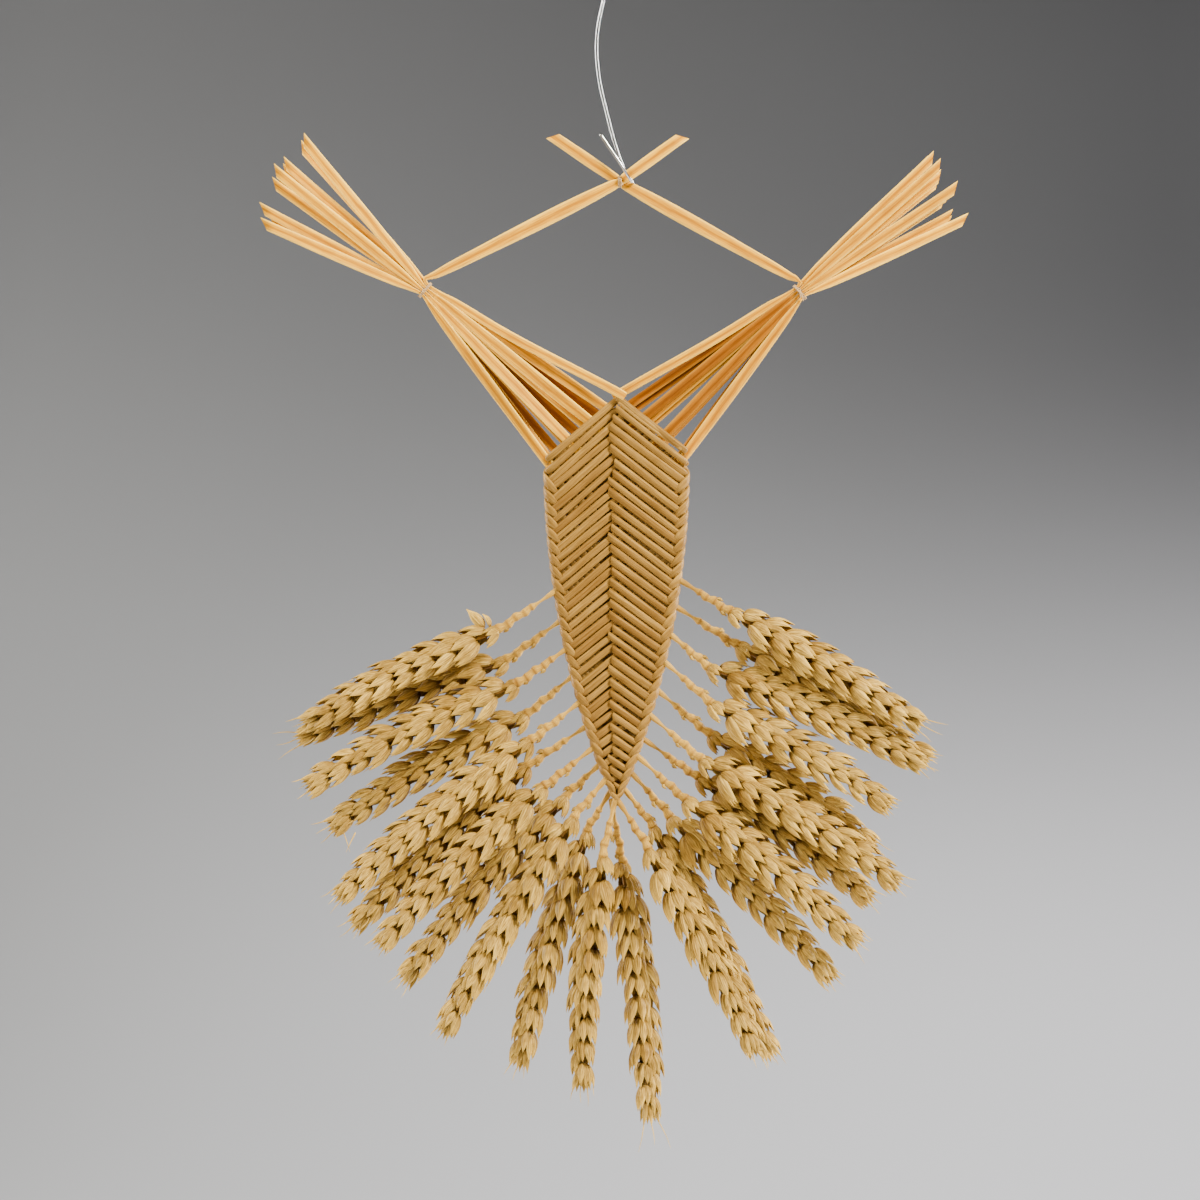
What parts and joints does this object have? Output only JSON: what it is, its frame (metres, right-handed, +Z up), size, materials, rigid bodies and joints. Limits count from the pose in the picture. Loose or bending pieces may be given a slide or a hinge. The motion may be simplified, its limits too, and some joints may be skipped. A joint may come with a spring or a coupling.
{
  "type": "straw ornament",
  "caption": "Hanging plaited wheat fan: leaf-shaped herringbone body, ears fanned below, tied sprays of cut stems above and a diamond hanging loop on a wire hook.",
  "frame": {"origin": "middle of the eye at the top of the wire hook, where the ornament hangs", "axes": "+Z up as it hangs; the face of the fan looks along -Y; +X to the right as it is seen"},
  "size_m": [0.2375, 0.0192, 0.3858],
  "materials": {
    "plaited_straw": "satin",
    "wheat_ear": "matte",
    "straw_stem": "satin",
    "thread": "matte",
    "wire": "satin"
  },
  "bodies": {
    "root": {"plaited_body": "plaited_straw", "ear_left_01": "wheat_ear", "ear_left_02": "wheat_ear", "ear_left_03": "wheat_ear", "ear_left_04": "wheat_ear", "ear_left_05": "wheat_ear", "ear_left_06": "wheat_ear", "ear_left_07": "wheat_ear", "ear_left_08": "wheat_ear", "ear_left_09": "wheat_ear", "ear_left_10": "wheat_ear", "ear_left_11": "wheat_ear", "ear_centre": "wheat_ear", "ear_right_11": "wheat_ear", "ear_right_10": "wheat_ear", "ear_right_09": "wheat_ear", "ear_right_08": "wheat_ear", "ear_right_07": "wheat_ear", "ear_right_06": "wheat_ear", "ear_right_05": "wheat_ear", "ear_right_04": "wheat_ear", "ear_right_03": "wheat_ear", "ear_right_02": "wheat_ear", "ear_right_01": "wheat_ear", "straw_left_01": "straw_stem", "straw_left_02": "straw_stem", "straw_left_03": "straw_stem", "straw_left_04": "straw_stem", "straw_left_05": "straw_stem", "straw_left_06": "straw_stem", "straw_left_07": "straw_stem", "straw_left_08": "straw_stem", "straw_left_09": "straw_stem", "straw_left_10": "straw_stem", "straw_right_01": "straw_stem", "straw_right_02": "straw_stem", "straw_right_03": "straw_stem", "straw_right_04": "straw_stem", "straw_right_05": "straw_stem", "straw_right_06": "straw_stem", "straw_right_07": "straw_stem", "straw_right_08": "straw_stem", "straw_right_09": "straw_stem", "straw_right_10": "straw_stem", "straw_right_11": "straw_stem", "hanger_straw_left": "straw_stem", "hanger_straw_right": "straw_stem", "tie_left": "thread", "tie_right": "thread", "tie_top": "thread", "wire_hook": "wire"}
  },
  "joints": []
}
